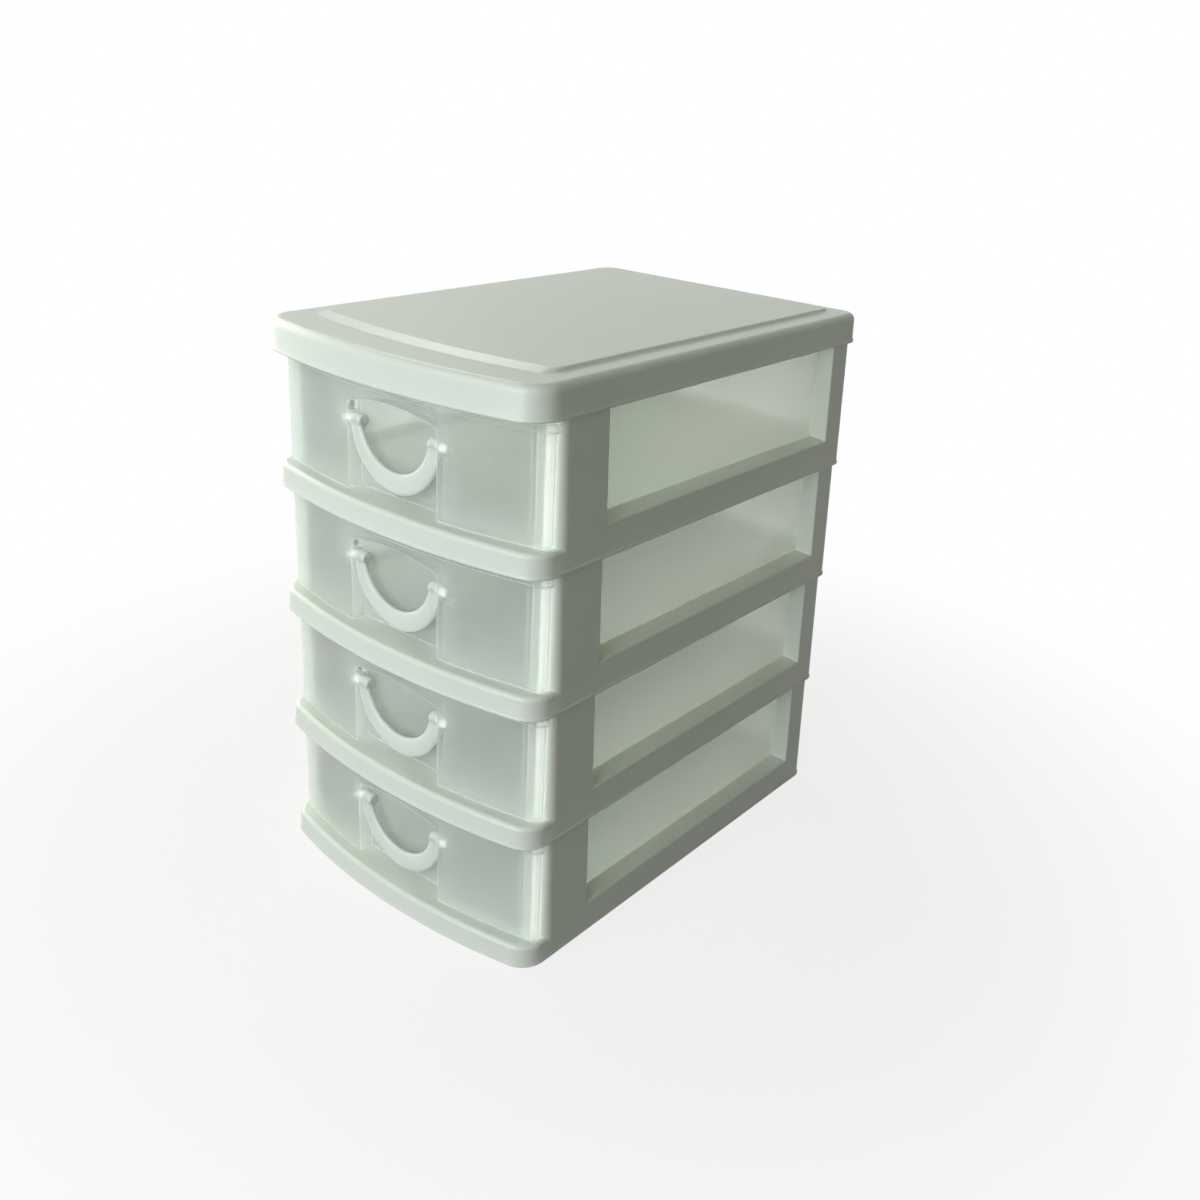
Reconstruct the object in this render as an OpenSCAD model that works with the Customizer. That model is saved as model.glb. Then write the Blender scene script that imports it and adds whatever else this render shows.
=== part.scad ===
// Desktop mini drawers: four stacked tier frames under a top cap, each tier
// holding a translucent drawer with a bow front and a swinging bail handle.
// Millimetres, +Z up, the front faces -Y, and the origin is on the resting
// plane below the middle of the stack.

/* [Tier frames] */
// Width of a tier at its lower edge, without the bead
tier_w = 120; // [112:1:130]
// Depth of a tier from the middle of its bowed front to its back
tier_d = 175; // [165:1:190]
// Height step from one tier to the next
pitch = 45.5; // [44:0.5:52]
// How far the middle of the front band stands ahead of its ends
band_bow = 7.5; // [4:0.5:10]
// Radius of the band's front corners, seen from above
band_corner_r = 9; // [6:0.5:12]
// Radius of the rear corners, seen from above
rear_corner_r = 4.5; // [3:0.5:7]
// How far each outer face leans inwards over one height step
draft = 1.3; // [0.6:0.1:1.6]
// Height of the front band below each drawer
band_h = 8; // [7.5:0.5:10]
// Rounding along the band's top edge
band_edge_r = 1.6; // [0.8:0.2:2]
// Height of the rear rail
rail_h = 12.3; // [11:0.1:16]
// How far the side rails' inner edges stay below the rear rail's top
rail_step = 0.2; // [0.1:0.1:0.6]
// Width of the side rails and posts
rail_w = 6.5; // [5.5:0.1:7.5]
// Width of the rear rail
rear_rail_w = 4.2; // [3.5:0.1:6]
// Fall of the side rails' top towards the outside
ledge_drop = 1.5; // [0.5:0.1:2]
// Thickness of the floor plate
floor_t = 2; // [1.6:0.1:2.4]
// Thickness of the skirt that sleeves over the posts below
skirt_t = 1.1; // [0.9:0.1:1.4]
// Height of the bead along the lower edge of the tiers and the cap
bead_h = 0.9; // [0.6:0.1:1.5]
// How far the bead stands out
bead_out = 0.3; // [0.2:0.1:0.6]

/* [Posts] */
// Depth of the front posts
front_post_d = 21.8; // [16:0.2:30]
// Depth of the rear posts
rear_post_d = 13; // [8:0.5:16]
// How much further forward the rear posts' inner edges stand than their outer ones
jamb_slant = 2; // [0.5:0.1:3]
// Width of the return that each rear post turns across the back
rear_return_w = 15; // [10:1:25]
// Thickness of that return
rear_return_t = 1.8; // [1.4:0.1:2.2]
// Radius of the front posts' outer front edge
post_edge_r = 4; // [2:0.5:5]
// Distance from the middle of the band's front to the front of the posts
post_setback = 14.7; // [14:0.1:17]
// Wall left round the hollow of each post
post_wall = 1.8; // [1.4:0.1:2.2]

/* [Cap] */
// Height of the cap from its lower edge to its top face
cap_h = 10.4; // [9:0.1:14]
// Extra gap above the top drawer, below the cap's edge
cap_lift = 0.6; // [0.3:0.1:2.5]
// How far the cap reaches ahead of the band and behind the back
cap_overhang = 2; // [1:0.1:4]
// Rounding of the cap's top edge
cap_edge_r = 2.6; // [2:0.2:5]
// Thickness of the cap's top plate
cap_plate_t = 2; // [1.6:0.1:2.4]
// Height of the raised panel on the cap
panel_h = 1; // [0.6:0.1:2.5]
// Flat border beside the raised panel
panel_side = 9.4; // [6:0.2:14]
// Border ahead of the raised panel
panel_front = 14.8; // [12:0.1:22]
// Border behind the raised panel
panel_rear = 8; // [6:0.5:12]
// Length of the sloping front edge of the raised panel
panel_slope = 4.6; // [1:0.2:6]
// Width of its sloping side and rear edges
panel_edge = 0.3; // [0.2:0.1:1]

/* [Drawers] */
// Width of the drawer's bowed face
face_w = 116.5; // [110:0.5:117]
// How far the middle of the face stands ahead of its ends
face_bow = 7.5; // [5:0.5:8]
// Distance from the middle of the band's front back to the face
face_setback = 4.8; // [4:0.1:6]
// Radius of the face's upright edges, seen from above
face_corner_r = 2.5; // [2:0.5:5]
// Radius of the face's lower corners, seen from the front
face_low_r = 1.5; // [1:0.5:4]
// Thickness of the face
face_t = 1.6; // [1.2:0.1:2]
// Thickness of the drawer's side and back walls
drawer_wall = 1.5; // [1.2:0.1:2]
// Thickness of the drawer's floor
drawer_floor = 1.6; // [1.2:0.1:2]
// Radius of the drawer's rear corners
drawer_corner_r = 4; // [2:0.5:6]
// Height of the rim round the drawer's top
rim_h = 2.4; // [1.5:0.1:3.5]
// How far the rim stands ahead of the face, and into the drawer
rim_out = 1.1; // [0.6:0.1:1.6]
// Gap between the drawer's sides and the rails
side_gap = 0.7; // [0.4:0.1:1.2]
// Gap below the drawer's floor
floor_gap = 0.3; // [0.2:0.05:0.6]
// Gap between the drawer's rim and the tier above
top_gap = 0.5; // [0.4:0.1:1]
// Gap between the face and the front of the posts
face_gap = 0.4; // [0.3:0.1:1]
// Gap between the drawer's back and the rear rail
rear_gap = 0.7; // [0.4:0.1:2]

/* [Finger recess] */
// Gap between each side of the recess and the bail
bail_gap = 0.5; // [0.3:0.1:4.6]
// Height of the top of the arch above the tier's lower edge
recess_top = 39.5; // [36:0.5:41]
// Radius of the arch
recess_arch_r = 68; // [50:1:120]
// Radius where the arch meets the recess's sides
recess_corner_r = 3; // [1:0.5:4]
// Depth of the recess behind the middle of the face
recess_depth = 6.2; // [5.8:0.1:9]
// Thickness of the recess's walls
recess_wall = 1.4; // [1.2:0.1:1.8]
// Length and height of the slot above each pin
slot_size = 3.2; // [2:0.1:3.6]

/* [Bail handle] */
// Outer radius of the bail
bail_r = 19.4; // [17:0.1:19.5]
// Radius of the bail's inner edge
bail_inner_r = 15.2; // [12:0.1:15.6]
// How far the inner edge's centre lies above the pins
bail_rise = 2.6; // [0.5:0.1:3.2]
// Thickness of the bail from front to back
bail_t = 2.6; // [2.2:0.1:3.2]
// How far each barrel stands in from the bail's inner edge
barrel_lap = 0.3; // [0.2:0.1:1.5]
// Radius of the barrel at the top of each arm
barrel_r = 2.1; // [1.9:0.1:2.4]
// Radius of the pins
pin_r = 1.6; // [1.2:0.05:1.7]
// Running clearance round the pins
pin_clearance = 0.05; // [0.02:0.01:0.1]
// How far each pin reaches past the side of the recess
pin_reach = 2.6; // [2:0.1:4]
// Radius of the bosses that hold the pins
boss_r = 2.7; // [2.6:0.1:3.2]
// Height of the pins above the tier's lower edge
pin_z = 30.5; // [29:0.25:31.5]
// Depth of the pins behind the middle of the face
pin_depth = 3.5; // [3.4:0.1:3.8]

/* [Hidden] */
$fn = 64;

tier_count = 4;
far = 400;           // longer than any piece, for cutting right through
cut = 1;             // how far a cutter runs past the face that it opens
fit_gap = 0.2;       // play between a skirt and the posts inside it
pin_end_gap = 0.4;   // play between a pin's end and the bottom of its bore
straight_r = 4000;   // bow radius that draws a straight front
least_r = 0.2;       // corner radius left where an outline is moved in past its corners

// Steps of the outlines seen from above
bow_steps = 24;
corner_steps = 8;

// Levels inside one tier, above its lower edge
plate_low = band_h - floor_t;      // underside of the floor plate
post_top = pitch + plate_low;      // the posts carry the next floor plate
drawer_low = band_h + floor_gap;
drawer_top = pitch - top_gap;

// Places across and along a tier
front_y = -tier_d / 2;
post_front_y = front_y + post_setback;
window_front_y = post_front_y + front_post_d;
window_rear_y = tier_d / 2 - rear_post_d;
bay_half = tier_w / 2 - rail_w;
bay_rear_y = tier_d / 2 - rear_rail_w;
face_y = front_y + face_setback;
drawer_half = bay_half - side_gap;
drawer_rear_y = bay_rear_y - rear_gap;
recess_y = face_y + recess_depth;
pin_y = face_y + pin_depth;
recess_w = 2 * (bail_r + bail_gap);
bore_end = recess_w / 2 + pin_reach + pin_end_gap;

// An outline seen from above: [half width, front, rear, bow radius, front corner, rear corner]
function bow_radius(half, bow) = (half * half + bow * bow) / (2 * bow);
function inset(s, d) =
    [s[0] - d, s[1] + d, s[2] - d, s[3] - d, max(s[4] - d, least_r), max(s[5] - d, least_r)];
function arc(x, y, r, from, to, steps) =
    [for (i = [0:steps]) let (a = from + (to - from) * i / steps) [x + r * cos(a), y + r * sin(a)]];
function mirrored(pts) = [for (i = [len(pts) - 1:-1:0]) [-pts[i][0], pts[i][1]]];

// Bowed front, corners tangent to the bow and the sides, straight sides and back
function bow_outline(s) =
    let (bow_y = s[1] + s[3],
         x = s[0] - s[4],
         lean = asin(x / (s[3] - s[4])),
         y = bow_y - (s[3] - s[4]) * cos(lean),
         right = concat(arc(x, y, s[4], lean - 90, 0, corner_steps),
                        arc(s[0] - s[5], s[2] - s[5], s[5], 0, 90, corner_steps)),
         front = arc(0, bow_y, s[3], -90 - lean, -90 + lean, bow_steps))
    concat([for (i = [1:bow_steps - 1]) front[i]], right, mirrored(right));

tier_shape = [tier_w / 2, front_y, tier_d / 2, bow_radius(tier_w / 2, band_bow),
              band_corner_r, rear_corner_r];
cap_shape = [tier_shape[0], front_y - cap_overhang, tier_d / 2 + cap_overhang,
             tier_shape[3] + cap_overhang, band_corner_r + cap_overhang, rear_corner_r + cap_overhang];
face_shape = [face_w / 2, face_y, tier_d / 2, bow_radius(face_w / 2, face_bow), face_corner_r, face_corner_r];

function lean_in(z) = draft * z / pitch;
function tier_outline(z, d = 0) = bow_outline(inset(tier_shape, lean_in(z) + d));
function post_outline(z) =
    bow_outline([tier_w / 2 - lean_in(z), post_front_y, tier_d / 2 - lean_in(z), straight_r,
                 post_edge_r, rear_corner_r - lean_in(z)]);

// A closed skin through outlines of equal length, given as [height, outline]
module loft(levels) {
    n = len(levels[0][1]);
    top = len(levels) - 1;
    polyhedron(
        points = [for (l = levels) for (p = l[1]) [p[0], p[1], l[0]]],
        faces = concat(
            [[for (i = [0:n - 1]) i]],
            [[for (i = [n - 1:-1:0]) top * n + i]],
            [for (l = [0:top - 1]) for (i = [0:n - 1])
                [l * n + i, (l + 1) * n + i, (l + 1) * n + (i + 1) % n]],
            [for (l = [0:top - 1]) for (i = [0:n - 1])
                [l * n + i, (l + 1) * n + (i + 1) % n, l * n + (i + 1) % n]]));
}

module block(x0, x1, y0, y1, z0, z1) {
    translate([x0, y0, z0]) cube([x1 - x0, y1 - y0, z1 - z0]);
}

module both_sides() {
    children();
    mirror([1, 0, 0]) children();
}

// ---- Tier frame ----------------------------------------------------------

// The bead that stiffens a lower edge, run round an outline
module bead(shape) {
    loft([[0, bow_outline(inset(shape, -bead_out))],
          [bead_h, bow_outline(inset(shape, -bead_out))],
          [bead_h + 2 * bead_out, bow_outline(inset(shape, bead_out))]]);
}

// The band across the front, with its top edge rounded
module front_band() {
    edge_z = band_h - band_edge_r;
    intersection() {
        loft(concat(
            [[0, tier_outline(0)]],
            [for (a = [0:22.5:90])
                let (z = edge_z + band_edge_r * sin(a)) [z, tier_outline(z, band_edge_r * (1 - cos(a)))]]));
        block(-far, far, -far, window_front_y - post_wall, -far, far);
    }
}

// Pockets that leave each post as a channel, open towards the drawer, with ribs across it
module post_pockets(y0, y1) {
    pocket_n = 3;
    rib_t = 1.4;
    low = rail_h;
    high = post_top - floor_t - post_wall;
    step = (high - low + rib_t) / pocket_n;
    for (i = [0:pocket_n - 1])
        block(bay_half - cut, tier_w / 2 - draft - post_wall,
              y0 + post_wall, y1 - post_wall, low + i * step, low + (i + 1) * step - rib_t);
}

// The opening in one side over its rail, whose top falls outwards
function jamb_y(x) = window_rear_y - jamb_slant * (1 - x / rail_w);
module window_plan() {
    polygon([[-cut, window_front_y], [rail_w + cut, window_front_y],
             [rail_w + cut, jamb_y(rail_w + cut)], [-cut, jamb_y(-cut)]]);
}
module side_window() {
    difference() {
        translate([bay_half, 0, rail_h - ledge_drop - cut]) linear_extrude(far) window_plan();
        translate([bay_half, 0, rail_h - rail_step]) rotate([0, atan(ledge_drop / rail_w), 0])
            block(-rail_w, 2 * rail_w, -far, far, -rail_h, 0);
    }
}

// Pockets below the side rails, between cross ribs
module rail_pockets() {
    pocket_n = 5;
    rib_t = 1.6;
    step = (window_rear_y - window_front_y + rib_t) / pocket_n;
    for (i = [0:pocket_n - 1])
        block(bay_half + post_wall, tier_w / 2 - lean_in(rail_h) - post_wall,
              window_front_y + i * step, window_front_y + (i + 1) * step - rib_t,
              plate_low - cut, rail_h - ledge_drop - post_wall);
}

// Stiffening ribs below the floor plate
module plate_ribs() {
    rib_t = 1.4;
    rib_h = 2.5;
    half = bay_half - rail_w;
    for (x = [-half / 2, half / 2])
        block(x - rib_t / 2, x + rib_t / 2, post_front_y, bay_rear_y - rail_w, plate_low - rib_h, plate_low);
    for (y = [window_front_y, (window_front_y + window_rear_y) / 2, window_rear_y - rib_t])
        block(-half, half, y, y + rib_t, plate_low - rib_h, plate_low);
}

module tier_frame() {
    color([0.87, 0.90, 0.86]) {
        difference() {
            union() {
                front_band();
                bead(tier_shape);
                loft([[0, post_outline(0)], [post_top, post_outline(post_top)]]);
            }
            // the drawer's bay, over the floor plate
            block(-bay_half, bay_half, -far, bay_rear_y, band_h, far);
            block(-bay_half, bay_half, -far, tier_d / 2 - draft - rear_return_t, rail_h, far);
            // the open back
            block(-bay_half + rear_return_w - rail_w, bay_half - rear_return_w + rail_w, 0, far, rail_h, far);
            // the skirt's hollow, which takes the posts of the tier below
            loft([[-cut, tier_outline(-cut, skirt_t)], [plate_low, tier_outline(plate_low, skirt_t)]]);
            both_sides() {
                side_window();
                post_pockets(post_front_y, window_front_y);
                post_pockets(window_rear_y, tier_d / 2 - draft);
                rail_pockets();
            }
        }
        plate_ribs();
    }
}

// ---- Cap -----------------------------------------------------------------

module top_cap() {
    cap_z = tier_count * pitch + cap_lift;
    side_z = cap_h - cap_edge_r;
    cap_lean = 0.3;
    inner_top = cap_h - cap_plate_t;
    socket_z = tier_count * pitch + plate_low - cap_z;
    pad_x = tier_w / 2 - 2 * draft - fit_gap;
    panel_low = [cap_shape[0] - panel_side, cap_shape[1] + panel_front, cap_shape[2] - panel_rear,
                 cap_shape[3], band_corner_r / 2, rear_corner_r / 2];
    panel_top = [panel_low[0] - panel_edge, panel_low[1] + panel_slope, panel_low[2] - panel_edge,
                 panel_low[3], band_corner_r / 2, rear_corner_r / 2];
    color([0.87, 0.90, 0.86]) translate([0, 0, cap_z]) {
        difference() {
            union() {
                bead(cap_shape);
                loft(concat(
                    [[0, bow_outline(cap_shape)]],
                    [for (a = [0:15:90])
                        [side_z + cap_edge_r * sin(a),
                         bow_outline(inset(cap_shape, cap_lean + cap_edge_r * (1 - cos(a))))]]));
            }
            loft([[-cut, bow_outline(inset(cap_shape, skirt_t))],
                  [side_z, bow_outline(inset(cap_shape, skirt_t + cap_lean))],
                  [inner_top, bow_outline(inset(cap_shape, cap_edge_r))]]);
        }
        // pads that rest on the tops of the uppermost posts
        both_sides() {
            block(bay_half, pad_x, post_front_y, window_front_y, socket_z, inner_top);
            block(bay_half, pad_x, window_rear_y, tier_d / 2 - draft, socket_z, inner_top);
        }
        loft([[cap_h, bow_outline(panel_low)], [cap_h + panel_h, bow_outline(panel_top)]]);
    }
}

// ---- Drawer --------------------------------------------------------------

// The face's outline, moved in by d
module face_plan(d = 0) {
    polygon(bow_outline(inset(face_shape, d)));
}

// The part of a plan that lies ahead of the posts
module ahead_of_posts() {
    intersection() {
        children();
        translate([-far, -far]) square([2 * far, far + post_front_y - face_gap]);
    }
}

// The drawer's box, moved in by d, running forward without end
module box_plan(d = 0) {
    r = drawer_corner_r - d;
    half = drawer_half - d;
    rear = drawer_rear_y - d;
    translate([-half, -far]) square([2 * half, far + rear - r]);
    translate([-half + r, -far]) square([2 * (half - r), far + rear]);
    for (x = [-half + r, half - r]) translate([x, rear - r]) circle(r);
}

// The recess seen from the front, moved out by d: straight sides under an arch
module recess_profile(d = 0) {
    half = recess_w / 2 + d;
    r = recess_corner_r + d;
    arch_r = recess_arch_r + d;
    top = recess_top + d;
    corner_z = top - arch_r + sqrt(arch_r * arch_r - (half - r) * (half - r)) - r;
    translate([-half, 0]) square([2 * half, corner_z]);
    intersection() {
        translate([0, top - arch_r]) circle(arch_r, $fn = 240);
        translate([-half + r, 0]) square([2 * (half - r), top]);
    }
    for (x = [-half + r, half - r]) translate([x, corner_z]) circle(r);
}

// Carries a profile drawn from the front back from y0 to y1
module carry_back(y0, y1) {
    translate([0, y1, 0]) rotate([90, 0, 0]) linear_extrude(y1 - y0) children();
}

module drawer_walls() {
    translate([0, 0, drawer_low]) linear_extrude(drawer_top - drawer_low) {
        difference() {
            ahead_of_posts() face_plan();
            face_plan(face_t);
        }
        difference() {
            intersection() { box_plan(); face_plan(); }
            intersection() { box_plan(drawer_wall); face_plan(face_t); }
        }
    }
}

module drawer_rim() {
    translate([0, 0, drawer_top - rim_h]) linear_extrude(rim_h) {
        difference() {
            ahead_of_posts() face_plan(-rim_out);
            face_plan(face_t);
        }
        difference() {
            intersection() { box_plan(); face_plan(); }
            intersection() { box_plan(drawer_wall + rim_out); face_plan(face_t + rim_out); }
        }
    }
}

// Rounds off the lower corners of the face
module face_corner_cut() {
    edge = face_w / 2;
    difference() {
        block(edge - face_low_r, edge + cut, -far, post_front_y, drawer_low - cut, drawer_low + face_low_r);
        translate([edge - face_low_r, 0, drawer_low + face_low_r])
            rotate([90, 0, 0]) cylinder(h = far, r = face_low_r);
    }
}

// A cylinder along the line of the pins, reaching x either side of the middle
module pin_line(x, r) {
    translate([-x, pin_y, pin_z]) rotate([0, 90, 0]) cylinder(h = 2 * x, r = r);
}

module drawer() {
    recess_back_y = recess_y + recess_wall;
    color([0.80, 0.84, 0.80, 0.6]) {
        difference() {
            union() {
                drawer_walls();
                drawer_rim();
                translate([0, 0, drawer_low]) linear_extrude(drawer_floor)
                    intersection() { box_plan(); face_plan(); }
                // walls of the finger recess and bosses for the pins, inside the face
                intersection() {
                    union() {
                        carry_back(-far, recess_back_y) recess_profile(recess_wall);
                        pin_line(bore_end + recess_wall, boss_r);
                    }
                    translate([0, 0, drawer_low]) linear_extrude(far) face_plan(face_t / 2);
                }
            }
            carry_back(-far, recess_y) recess_profile();
            both_sides() face_corner_cut();
            // bores for the bail's pins, and the slots above them
            pin_line(bore_end, pin_r + pin_clearance);
            both_sides()
                block(recess_w / 2 - 2 * cut, recess_w / 2 + recess_wall + cut,
                      pin_y - slot_size / 2, pin_y + slot_size / 2,
                      pin_z + boss_r, pin_z + boss_r + slot_size);
        }
    }
}

// ---- Bail handle ---------------------------------------------------------

// A crescent whose front is flush with its barrels, on two pins
module handle() {
    pin_end = recess_w / 2 + pin_reach;
    barrel_in = bail_inner_r - barrel_lap;
    color([0.92, 0.94, 0.91]) translate([0, pin_y, pin_z]) {
        rotate([90, 0, 0]) translate([0, 0, barrel_r - bail_t]) linear_extrude(bail_t) difference() {
            circle(bail_r);
            translate([0, bail_rise]) circle(bail_inner_r);
            translate([-far, 0]) square([2 * far, far]);
        }
        both_sides() rotate([0, 90, 0]) {
            translate([0, 0, barrel_in]) cylinder(h = bail_r - barrel_in, r = barrel_r);
            translate([0, 0, barrel_in]) cylinder(h = pin_end - barrel_in, r = pin_r);
        }
    }
}

// Lifts a piece to tier t, counted from the bottom
module on_tier(t) {
    translate([0, 0, (t - 1) * pitch]) children();
}

on_tier(1) tier_frame();  // tier_frame_1
on_tier(2) tier_frame();  // tier_frame_2
on_tier(3) tier_frame();  // tier_frame_3
on_tier(4) tier_frame();  // tier_frame_4
top_cap();
on_tier(1) drawer();  // drawer_1
on_tier(2) drawer();  // drawer_2
on_tier(3) drawer();  // drawer_3
on_tier(4) drawer();  // drawer_4
on_tier(1) handle();  // handle_1
on_tier(2) handle();  // handle_2
on_tier(3) handle();  // handle_3
on_tier(4) handle();  // handle_4
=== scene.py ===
"""Desktop mini drawers: moulded tier frames, a rounded cap, frosted drawers and swinging bails.

Metres, +Z up, the drawers open towards -Y, and the origin is on the floor below the middle.
The tier frames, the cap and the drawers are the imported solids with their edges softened. The
bails are surfaces worked out here, in the places of the solids that they replace.
"""
import math

import bpy
import numpy as np
from mathutils import Matrix, Vector


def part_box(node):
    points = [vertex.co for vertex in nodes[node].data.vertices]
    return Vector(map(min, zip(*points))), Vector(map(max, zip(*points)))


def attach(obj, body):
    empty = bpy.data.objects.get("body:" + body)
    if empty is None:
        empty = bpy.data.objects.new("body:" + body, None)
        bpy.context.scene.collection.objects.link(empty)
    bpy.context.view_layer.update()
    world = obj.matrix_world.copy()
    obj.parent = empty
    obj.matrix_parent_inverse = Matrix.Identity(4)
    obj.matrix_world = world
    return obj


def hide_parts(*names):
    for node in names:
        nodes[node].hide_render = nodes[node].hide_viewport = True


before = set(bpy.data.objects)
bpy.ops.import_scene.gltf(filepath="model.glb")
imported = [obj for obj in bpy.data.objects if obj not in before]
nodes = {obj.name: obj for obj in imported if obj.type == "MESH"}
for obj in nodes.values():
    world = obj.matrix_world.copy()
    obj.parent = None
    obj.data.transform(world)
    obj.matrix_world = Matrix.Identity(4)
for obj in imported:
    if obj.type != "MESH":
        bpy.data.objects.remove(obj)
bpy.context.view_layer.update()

MM = 0.001
TIERS = 4


# ---- Nodes --------------------------------------------------------------------

class Value:
    """A socket's value. Arithmetic and comparison on it add Math nodes."""

    def __init__(self, tree, socket):
        self.tree = tree
        self.socket = socket

    def math(self, operation, first, second):
        return add_node(self.tree, "ShaderNodeMath", {"operation": operation}, {0: first, 1: second})

    def __add__(self, other):
        return self.math("ADD", self, other)

    def __sub__(self, other):
        return self.math("SUBTRACT", self, other)

    def __rsub__(self, other):
        return self.math("SUBTRACT", other, self)

    def __mul__(self, other):
        return self.math("MULTIPLY", self, other)

    def __gt__(self, other):
        return self.math("GREATER_THAN", self, other)

    __radd__ = __add__
    __rmul__ = __mul__


def add_node(tree, kind, settings, inputs, output=0):
    """Adds a node, sets it, fills its sockets with values or links, and returns an output if any."""
    node = tree.nodes.new(kind)
    for key, value in settings.items():
        setattr(node, key, value)
    for key, value in inputs.items():
        if isinstance(value, Value):
            tree.links.new(value.socket, node.inputs[key])
        else:
            node.inputs[key].default_value = value
    if node.outputs:
        return Value(tree, node.outputs[output])


def empty_tree(owner):
    """The node tree of a new material or world, with nothing in it."""
    owner.use_nodes = True
    owner.node_tree.nodes.clear()
    return owner.node_tree


def ray(tree, kind):
    """1 for rays of a kind, such as Camera or Shadow, and 0 for others."""
    return add_node(tree, "ShaderNodeLightPath", {}, {}, f"Is {kind} Ray")


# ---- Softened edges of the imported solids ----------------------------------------

FRAME_EDGE = 0.4 * MM
DRAWER_EDGE = 0.3 * MM
EDGE_ANGLE = math.radians(50.0)
EDGE_SEGMENTS = 3
WELD_DISTANCE = 0.01 * MM
FLAT_ANGLE = math.radians(0.3)

# The raised panel's front falls by 12 degrees, too little for a rounded edge, so it is creased
PANEL_HEIGHT = 1.0 * MM
PANEL_FALL = math.radians(11.9)


def add_softening(piece, width, clamp=False):
    """Welds a solid's triangles, joins the flat ones and rounds its sharp edges.

    With clamp the width is held back all over to what the piece's shortest edges can take.
    """
    weld = piece.modifiers.new("weld", "WELD")
    weld.merge_threshold = WELD_DISTANCE
    flat = piece.modifiers.new("flat", "DECIMATE")
    flat.decimate_type = "DISSOLVE"
    flat.angle_limit = FLAT_ANGLE
    edge = piece.modifiers.new("edge", "BEVEL")
    edge.width = width
    edge.segments = EDGE_SEGMENTS
    edge.use_clamp_overlap = clamp
    edge.limit_method = "ANGLE"
    edge.angle_limit = EDGE_ANGLE
    edge.miter_outer = "MITER_ARC"
    even = piece.modifiers.new("even", "WEIGHTED_NORMAL")
    even.keep_sharp = True
    piece.data.polygons.foreach_set("use_smooth", np.ones(len(piece.data.polygons), dtype=bool))


def add_crease(piece, fall, low_z):
    """Shades apart the faces at edges above low_z that turn by more than fall, ahead of the bevel."""
    group = bpy.data.node_groups.new("crease", "GeometryNodeTree")
    group.interface.new_socket("Geometry", in_out="INPUT", socket_type="NodeSocketGeometry")
    group.interface.new_socket("Geometry", in_out="OUTPUT", socket_type="NodeSocketGeometry")
    whole = add_node(group, "NodeGroupInput", {}, {}, "Geometry")
    turn = add_node(group, "GeometryNodeInputMeshEdgeAngle", {}, {}, "Unsigned Angle")
    spot = add_node(group, "GeometryNodeInputPosition", {}, {})
    height = add_node(group, "ShaderNodeSeparateXYZ", {}, {"Vector": spot}, "Z")
    chosen = (turn > fall) * (height > low_z)
    creased = add_node(group, "GeometryNodeSetShadeSmooth", {"domain": "EDGE"},
                       {"Geometry": whole, "Selection": chosen, "Shade Smooth": False})
    add_node(group, "NodeGroupOutput", {}, {"Geometry": creased})
    crease = piece.modifiers.new("crease", "NODES")
    crease.node_group = group
    piece.modifiers.move(len(piece.modifiers) - 1, list(piece.modifiers.keys()).index("edge"))


# ---- Bail handles -----------------------------------------------------------------

PIN_RADIUS = 1.6 * MM
PIN_EDGE = 0.4 * MM
# How far outside the bail's inner circle a pin starts, hidden in its barrel
PIN_START = 1.0 * MM
BARREL_RADIUS = 2.1 * MM
BARREL_EDGE = 0.7 * MM
# How far a barrel reaches inside the bail's inner circle
BARREL_LAP = 0.3 * MM
BAIL_RADIUS = 19.4 * MM
BAIL_INNER_RADIUS = 15.2 * MM
# Height of the inner circle's middle above the pins
BAIL_RISE = 2.6 * MM
BAIL_THICKNESS = 2.6 * MM
BAIL_SECTION_POWER = 2.5
# Angle that each arm runs on above the pins, and the angle over which its tip is rounded
ARM_LIFT = 0.09
TIP_ANGLE = 0.12
# Share of its width that an arm keeps at its very end
TIP_SHARE = 0.02
# Radius that stands for a point where a turned bar meets its axis
POINT_RADIUS = 0.001 * MM


def make_object(name, points, faces):
    """A smooth-shaded object from an array of points and a list of faces."""
    mesh = bpy.data.meshes.new(name)
    mesh.from_pydata(points.tolist(), [], faces)
    mesh.update()
    mesh.polygons.foreach_set("use_smooth", np.ones(len(mesh.polygons), dtype=bool))
    piece = bpy.data.objects.new(name, mesh)
    bpy.context.scene.collection.objects.link(piece)
    return piece


def skin(rings, first):
    """Quads from each ring of points to the next, and one face over each end.

    Point j of ring i has the number first + i * size + j. Rings run anticlockwise seen from the
    last end.
    """
    count, size = rings.shape[:2]
    start = first + (np.arange(count - 1) * size)[:, None]
    here = np.arange(size)[None, :]
    after = (here + 1) % size
    quads = np.stack([start + here, start + after, start + size + after, start + size + here], -1)
    first_end = first + np.arange(size)[::-1]
    last_end = first + (count - 1) * size + np.arange(size)
    return quads.reshape(-1, 4).tolist() + [first_end.tolist(), last_end.tolist()]


def rounded_section(size):
    """A closed superellipse, |x|^p + |y|^p = 1, as unit x and y over size points.

    At turn t, x is |cos t|^(2 / p) and y is |sin t|^(2 / p), each with its own sign.
    """
    turn = np.linspace(0.0, 2.0 * np.pi, size, endpoint=False)
    power = 2.0 / BAIL_SECTION_POWER
    across = np.sign(np.cos(turn)) * np.abs(np.cos(turn)) ** power
    along = np.sign(np.sin(turn)) * np.abs(np.sin(turn)) ** power
    return across, along


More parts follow.
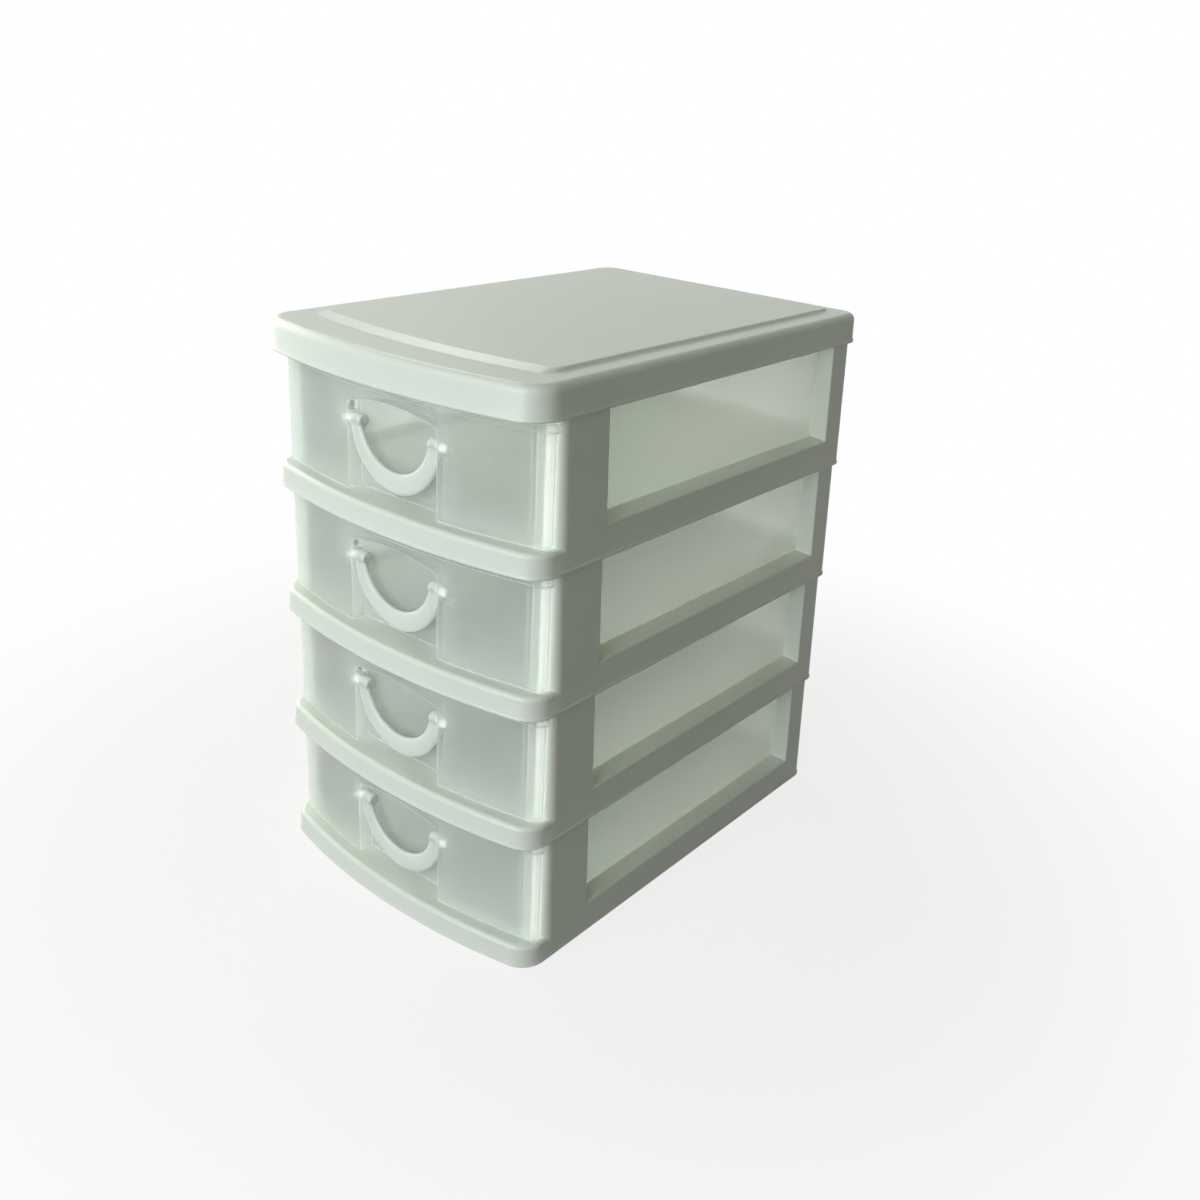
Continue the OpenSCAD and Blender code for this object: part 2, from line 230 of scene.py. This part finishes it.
def bail_crescent(steps=96, size=32):
    """The crescent between an outer circle on the pins' axis and a smaller circle a little above it.

    At the angle a about the pins' axis the outer circle is at its own radius, and the inner one,
    of radius r and raised by h, at h sin a + sqrt(r^2 - (h cos a)^2). The section is centred
    halfway between both, and its half width is half their distance. Near each end it shrinks as
    a quarter circle does, to a round tip.
    """
    angle = np.linspace(-np.pi - ARM_LIFT, ARM_LIFT, steps)
    rise_along = BAIL_RISE * np.sin(angle)
    rise_across = BAIL_RISE * np.cos(angle)
    inner = rise_along + np.sqrt(BAIL_INNER_RADIUS ** 2 - rise_across ** 2)
    middle = 0.5 * (BAIL_RADIUS + inner)
    half_width = 0.5 * (BAIL_RADIUS - inner)
    from_end = np.minimum(angle + np.pi + ARM_LIFT, ARM_LIFT - angle)
    tip = np.clip(from_end / TIP_ANGLE, 0.0, 1.0)
    shrink = np.maximum(np.sqrt(1.0 - (1.0 - tip) ** 2), TIP_SHARE)
    across, along = rounded_section(size)
    radius = middle[:, None] + (half_width * shrink)[:, None] * across[None, :]
    depth = 0.5 * BAIL_THICKNESS * shrink[:, None] * along[None, :]
    x = radius * np.cos(angle)[:, None]
    z = radius * np.sin(angle)[:, None]
    y = -BARREL_RADIUS + 0.5 * BAIL_THICKNESS + depth
    return np.stack([x, y, z], -1)


def rounded_bar(x0, x1, radius, edge, side, steps=6, size=40):
    """A bar turned about the X axis from x0 to x1, with both end edges rounded.

    Each rounding is a quarter circle: at turn t it lies edge (1 - sin t) from the bar's end and
    edge (1 - cos t) inside its radius. With side -1 the bar is mirrored to the other side, and
    its rings run the other way, so that its faces still point outwards.
    """
    quarter = np.linspace(0.0, 0.5 * np.pi, steps)
    inset = edge * (1.0 - np.sin(quarter))
    fall = edge * (1.0 - np.cos(quarter))
    x = np.concatenate([[x0], x0 + inset[::-1], x1 - inset, [x1]])
    r = np.concatenate([[POINT_RADIUS], radius - fall[::-1], radius - fall, [POINT_RADIUS]])
    x, r = side * x[::side, None], r[::side, None]
    turn = np.linspace(0.0, 2.0 * np.pi, size, endpoint=False)[None, :]
    return np.stack(np.broadcast_arrays(x, r * np.cos(turn), r * np.sin(turn)), -1)


def make_bail(name, node, body):
    """One bail: the crescent, a barrel at the top of each arm and a pin outside each barrel."""
    low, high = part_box(node)
    centre = np.array([0.0, low[1] + BARREL_RADIUS, high[2] - BARREL_RADIUS])
    shells = [bail_crescent()]
    for side in (-1, 1):
        shells.append(rounded_bar(BAIL_INNER_RADIUS - BARREL_LAP, BAIL_RADIUS, BARREL_RADIUS,
                                  BARREL_EDGE, side))
        shells.append(rounded_bar(BAIL_INNER_RADIUS + PIN_START, high[0], PIN_RADIUS,
                                  PIN_EDGE, side))
    points, faces, count = [], [], 0
    for shell in shells:
        points.append(shell.reshape(-1, 3))
        faces += skin(shell, count)
        count += len(points[-1])
    piece = make_object(name, np.concatenate(points) + centre, faces)
    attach(piece, body)
    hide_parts(node)
    return piece


# ---- Finishes ---------------------------------------------------------------------

POLYPROPYLENE_IOR = 1.49
# How far light of each colour spreads inside, as shares of the subsurface scale
SPREAD_BY_COLOUR = (1.0, 1.0, 0.9)
DRIFT_SIZE = 25 * MM
GRAIN_SIZE = 0.5 * MM
WAVE_SIZE = 40 * MM


def noise(tree, size, detail=2.0, roughness=0.5):
    """Smooth noise from 0 to 1 on the piece's own place, with lumps about size metres across."""
    spot = add_node(tree, "ShaderNodeTexCoord", {}, {}, "Object")
    return add_node(tree, "ShaderNodeTexNoise", {"noise_dimensions": "3D"},
                    {"Vector": spot, "Scale": 1.0 / size, "Detail": detail, "Roughness": roughness})


def blend_colours(tree, factor, first, second):
    """A colour between two, where factor runs from 0 to 1."""
    return add_node(tree, "ShaderNodeMix", {"data_type": "RGBA"},
                    {"Factor": factor, "A": (*first, 1.0), "B": (*second, 1.0)}, "Result")


def mix_shaders(tree, factor, first, second):
    """The first shader at factor 0 and the second at factor 1."""
    return add_node(tree, "ShaderNodeMixShader", {}, {0: factor, 1: first, 2: second})


def moulded_surface(tree, roughness, spread, grain_height, wave_height):
    """A shader's roughness and normal, for a fine mould grain on the slow waves of a cooled wall.

    The roughness drifts over the surface by half of spread to each side. It stays on one side of
    0.27, because the noise filter treats what is rougher in another way, which shows as patches.
    """
    drift = noise(tree, DRIFT_SIZE, 3.0)
    grain = noise(tree, GRAIN_SIZE, 3.0, 0.6)
    waves = noise(tree, WAVE_SIZE, 1.0)
    height = grain * grain_height + waves * wave_height
    bump = add_node(tree, "ShaderNodeBump", {},
                    {"Strength": 1.0, "Distance": 1.0, "Height": height}, "Normal")
    return {"Roughness": roughness + (drift - 0.5) * spread, "Normal": bump}


def finish(name, build):
    """A material whose surface is what build adds to its empty tree."""
    material = bpy.data.materials.new(name)
    tree = empty_tree(material)
    add_node(tree, "ShaderNodeOutputMaterial", {}, {"Surface": build(tree)})
    return material


def frame_plastic(tree):
    """Opaque off-white polypropylene with a faint green cast, satin."""
    tint = blend_colours(tree, noise(tree, 30 * MM, 3.0), (0.80, 0.86, 0.79), (0.84, 0.89, 0.82))
    return add_node(tree, "ShaderNodeBsdfPrincipled", {}, {
        "Base Color": tint,
        **moulded_surface(tree, roughness=0.32, spread=0.07,
                          grain_height=0.003 * MM, wave_height=0.05 * MM),
        "IOR": POLYPROPYLENE_IOR,
        "Subsurface Weight": 0.15,
        "Subsurface Radius": SPREAD_BY_COLOUR,
        "Subsurface Scale": 1.5 * MM})


def handle_plastic(tree):
    """Opaque white polypropylene with a soft shine."""
    tint = blend_colours(tree, noise(tree, 8 * MM, 3.0), (0.80, 0.84, 0.80), (0.83, 0.86, 0.82))
    return add_node(tree, "ShaderNodeBsdfPrincipled", {}, {
        "Base Color": tint,
        **moulded_surface(tree, roughness=0.32, spread=0.07,
                          grain_height=0.002 * MM, wave_height=0.01 * MM),
        "IOR": POLYPROPYLENE_IOR,
        "Subsurface Weight": 0.3,
        "Subsurface Radius": SPREAD_BY_COLOUR,
        "Subsurface Scale": 1.2 * MM})


def drawer_plastic(tree):
    """Frosted natural polypropylene: what is behind shows blurred, and light makes the walls milky.

    Each face lets a share of the rays straight through, less where it is seen edge-on. The rest
    are bent with blur, or scattered forwards and back. The edges are painted paler, a painted
    highlight for the light that thick edges hold. Lamps reach through the walls.
    """
    # The painted highlight on the edges: its width, how sharply it sets in, and its share
    highlight_width = 0.8 * MM
    highlight_contrast = 3.0
    highlight_share = 0.9
    milk_share = 0.42
    clear_share = 0.54
    lamp_share = 0.55

    tint = blend_colours(tree, noise(tree, 45 * MM, 2.0), (0.815, 0.835, 0.82), (0.86, 0.875, 0.86))
    frost = add_node(tree, "ShaderNodeBsdfPrincipled", {}, {
        "Base Color": tint,
        **moulded_surface(tree, roughness=0.14, spread=0.06,
                          grain_height=0.002 * MM, wave_height=0.04 * MM),
        "IOR": 1.15,
        "Transmission Weight": 0.65})
    milk = add_node(tree, "ShaderNodeBsdfTranslucent", {}, {"Color": (0.845, 0.86, 0.845, 1.0)})
    # Painted highlight: a paler diffuse white on the edges, for the light that thick edges hold
    painted_highlight = add_node(tree, "ShaderNodeBsdfDiffuse", {}, {"Color": (0.93, 0.95, 0.93, 1.0)})
    clear = add_node(tree, "ShaderNodeBsdfTransparent", {}, {"Color": (0.97, 0.98, 0.97, 1.0)})

    rounded = add_node(tree, "ShaderNodeBevel", {"samples": 6}, {"Radius": highlight_width})
    real = add_node(tree, "ShaderNodeNewGeometry", {}, {}, "Normal")
    likeness = add_node(tree, "ShaderNodeVectorMath", {"operation": "DOT_PRODUCT"},
                        {0: rounded, 1: real}, "Value")
    # 1 on the edges that get the painted highlight and are less clear, 0 on the flat wall
    highlight_mask = add_node(tree, "ShaderNodeClamp", {}, {"Value": (1.0 - likeness) * highlight_contrast})
    wall = mix_shaders(tree, highlight_mask * highlight_share, mix_shaders(tree, milk_share, frost, milk), painted_highlight)

    edge_on = add_node(tree, "ShaderNodeLayerWeight", {}, {"Blend": 0.5}, "Facing")
    straight = (1.0 - edge_on) * (1.0 - highlight_mask) * clear_share
    return mix_shaders(tree, ray(tree, "Shadow") * lamp_share + straight, wall, clear)


def dress(piece, material):
    """Puts one material on a whole piece."""
    piece.data.materials.clear()
    piece.data.materials.append(material)
    count = len(piece.data.polygons)
    piece.data.polygons.foreach_set("material_index", np.zeros(count, dtype=np.int32))


# ---- Stage --------------------------------------------------------------------------

WHITE = (1.0, 1.0, 1.0, 1.0)
FLOOR_REACH = 3.0
FLOOR_SEEN = (0.85, 0.85, 0.85)
FLOOR_BOUNCE = (0.15, 0.15, 0.15)
# The floor's glow to the camera, near the object and beyond its shadow
SHADOW_REACH = {"From Min": 0.12, "From Max": 0.35, "To Min": 0.80, "To Max": 1.0}

SKY_COLOUR = (0.95, 1.0, 0.60, 1.0)
SKY_STRENGTH = 0.10

# Name, place, size of a side, power in watts and colour
LAMPS = [("front", (0.10, -1.00, 0.36), 0.8, 7.4, (0.95, 0.98, 1.0)),
         ("high", (-0.30, -0.75, 0.85), 0.7, 1.1, (0.80, 0.92, 0.98)),
         ("left", (-1.00, 0.00, 0.35), 0.7, 6.0, (0.98, 1.0, 0.80)),
         ("rear", (-0.68, 0.42, 0.76), 0.3, 1.0, (0.94, 1.0, 0.94))]
LAMP_TARGET = Vector((0.0, 0.0, 0.10))

CAMERA_PLACE = (0.26996, -0.31352, 0.27427)
CAMERA_YAW = 0.6685
CAMERA_PITCH = -0.3936
CAMERA_ROLL = 0.0572
SENSOR_MM = 36.0
FRAME_PX = 1200.0
FOCAL_PX = 1224.5
AXIS_PX = (613.0, 564.0)


def looking_rays(tree):
    """1 or more for what the camera sees itself, in a reflection or through a wall."""
    return ray(tree, "Camera") + ray(tree, "Glossy") + ray(tree, "Transmission")


def white_floor(tree):
    """Paper that glows white to the camera, a little less near the object to keep its shadow.

    It throws little light back at the object, so that the sides away from the lamps stay dark.
    """
    paper = add_node(tree, "ShaderNodeBsdfDiffuse", {},
                     {"Color": blend_colours(tree, ray(tree, "Camera"), FLOOR_BOUNCE, FLOOR_SEEN)})
    glow = add_node(tree, "ShaderNodeEmission", {}, {"Color": WHITE, "Strength": 1.0})
    spot = add_node(tree, "ShaderNodeTexCoord", {}, {}, "Object")
    distance = add_node(tree, "ShaderNodeVectorMath", {"operation": "LENGTH"}, {0: spot}, "Value")
    away = add_node(tree, "ShaderNodeMapRange", {"interpolation_type": "SMOOTHSTEP"},
                    {"Value": distance, **SHADOW_REACH})
    return mix_shaders(tree, looking_rays(tree) * away, paper, glow)


def make_floor():
    """A plain white floor under the object."""
    corners = np.array([(-1.0, -1.0, 0.0), (1.0, -1.0, 0.0), (1.0, 1.0, 0.0), (-1.0, 1.0, 0.0)])
    floor = make_object("floor", FLOOR_REACH * corners, [[0, 1, 2, 3]])
    dress(floor, finish("floor", white_floor))


def make_world():
    """White to the camera, in reflections and through walls, and a dim yellowish green as light."""
    world = bpy.data.worlds.new("studio")
    bpy.context.scene.world = world
    tree = empty_tree(world)
    dim = add_node(tree, "ShaderNodeBackground", {}, {"Color": SKY_COLOUR, "Strength": SKY_STRENGTH})
    white = add_node(tree, "ShaderNodeBackground", {}, {"Color": WHITE, "Strength": 1.0})
    sky = mix_shaders(tree, looking_rays(tree), dim, white)
    add_node(tree, "ShaderNodeOutputWorld", {}, {"Surface": sky})


def make_lamp(name, place, size, power, colour):
    """A square soft lamp, turned towards the middle of the object."""
    lamp = bpy.data.lights.new(name, "AREA")
    lamp.size = size
    lamp.energy = power
    lamp.color = colour
    holder = bpy.data.objects.new(name, lamp)
    holder.location = place
    holder.rotation_euler = (LAMP_TARGET - Vector(place)).to_track_quat("-Z", "Y").to_euler()
    bpy.context.scene.collection.objects.link(holder)


def make_camera():
    """A camera at the front right, a little above the cap and slightly rolled."""
    flat = Vector((-math.sin(CAMERA_YAW), math.cos(CAMERA_YAW), 0.0))
    ahead = math.cos(CAMERA_PITCH) * flat + Vector((0.0, 0.0, math.sin(CAMERA_PITCH)))
    level = Vector((math.cos(CAMERA_YAW), math.sin(CAMERA_YAW), 0.0))
    above = level.cross(ahead)
    right = math.cos(CAMERA_ROLL) * level + math.sin(CAMERA_ROLL) * above
    up = -math.sin(CAMERA_ROLL) * level + math.cos(CAMERA_ROLL) * above
    camera = bpy.data.cameras.new("camera")
    camera.sensor_width = SENSOR_MM
    camera.lens = FOCAL_PX * SENSOR_MM / FRAME_PX
    camera.shift_x = (0.5 * FRAME_PX - AXIS_PX[0]) / FRAME_PX
    camera.shift_y = (AXIS_PX[1] - 0.5 * FRAME_PX) / FRAME_PX
    camera.clip_start = 10 * MM
    holder = bpy.data.objects.new("camera", camera)
    turn = Matrix((right, up, -ahead)).transposed().to_4x4()
    holder.matrix_world = Matrix.Translation(CAMERA_PLACE) @ turn
    bpy.context.scene.collection.objects.link(holder)
    bpy.context.scene.camera = holder


# ---- Assembly -----------------------------------------------------------------------

frame_finish = finish("frame_plastic", frame_plastic)
drawer_finish = finish("drawer_plastic", drawer_plastic)
handle_finish = finish("handle_plastic", handle_plastic)

for tier in range(1, TIERS + 1):
    shell = nodes[f"tier_frame_{tier}"]
    add_softening(shell, FRAME_EDGE)
    dress(shell, frame_finish)
    drawer = nodes[f"drawer_{tier}"]
    add_softening(drawer, DRAWER_EDGE, clamp=True)
    dress(drawer, drawer_finish)
    bail = make_bail(f"bail_{tier}", f"handle_{tier}", f"handle_{tier}_body")
    dress(bail, handle_finish)

cap = nodes["top_cap"]
just_below_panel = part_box("top_cap")[1][2] - 1.05 * PANEL_HEIGHT
add_softening(cap, FRAME_EDGE)
add_crease(cap, PANEL_FALL, just_below_panel)
dress(cap, frame_finish)

make_floor()
make_world()
for lamp in LAMPS:
    make_lamp(*lamp)
make_camera()

bpy.context.scene.view_settings.view_transform = "Standard"
bpy.context.view_layer.update()
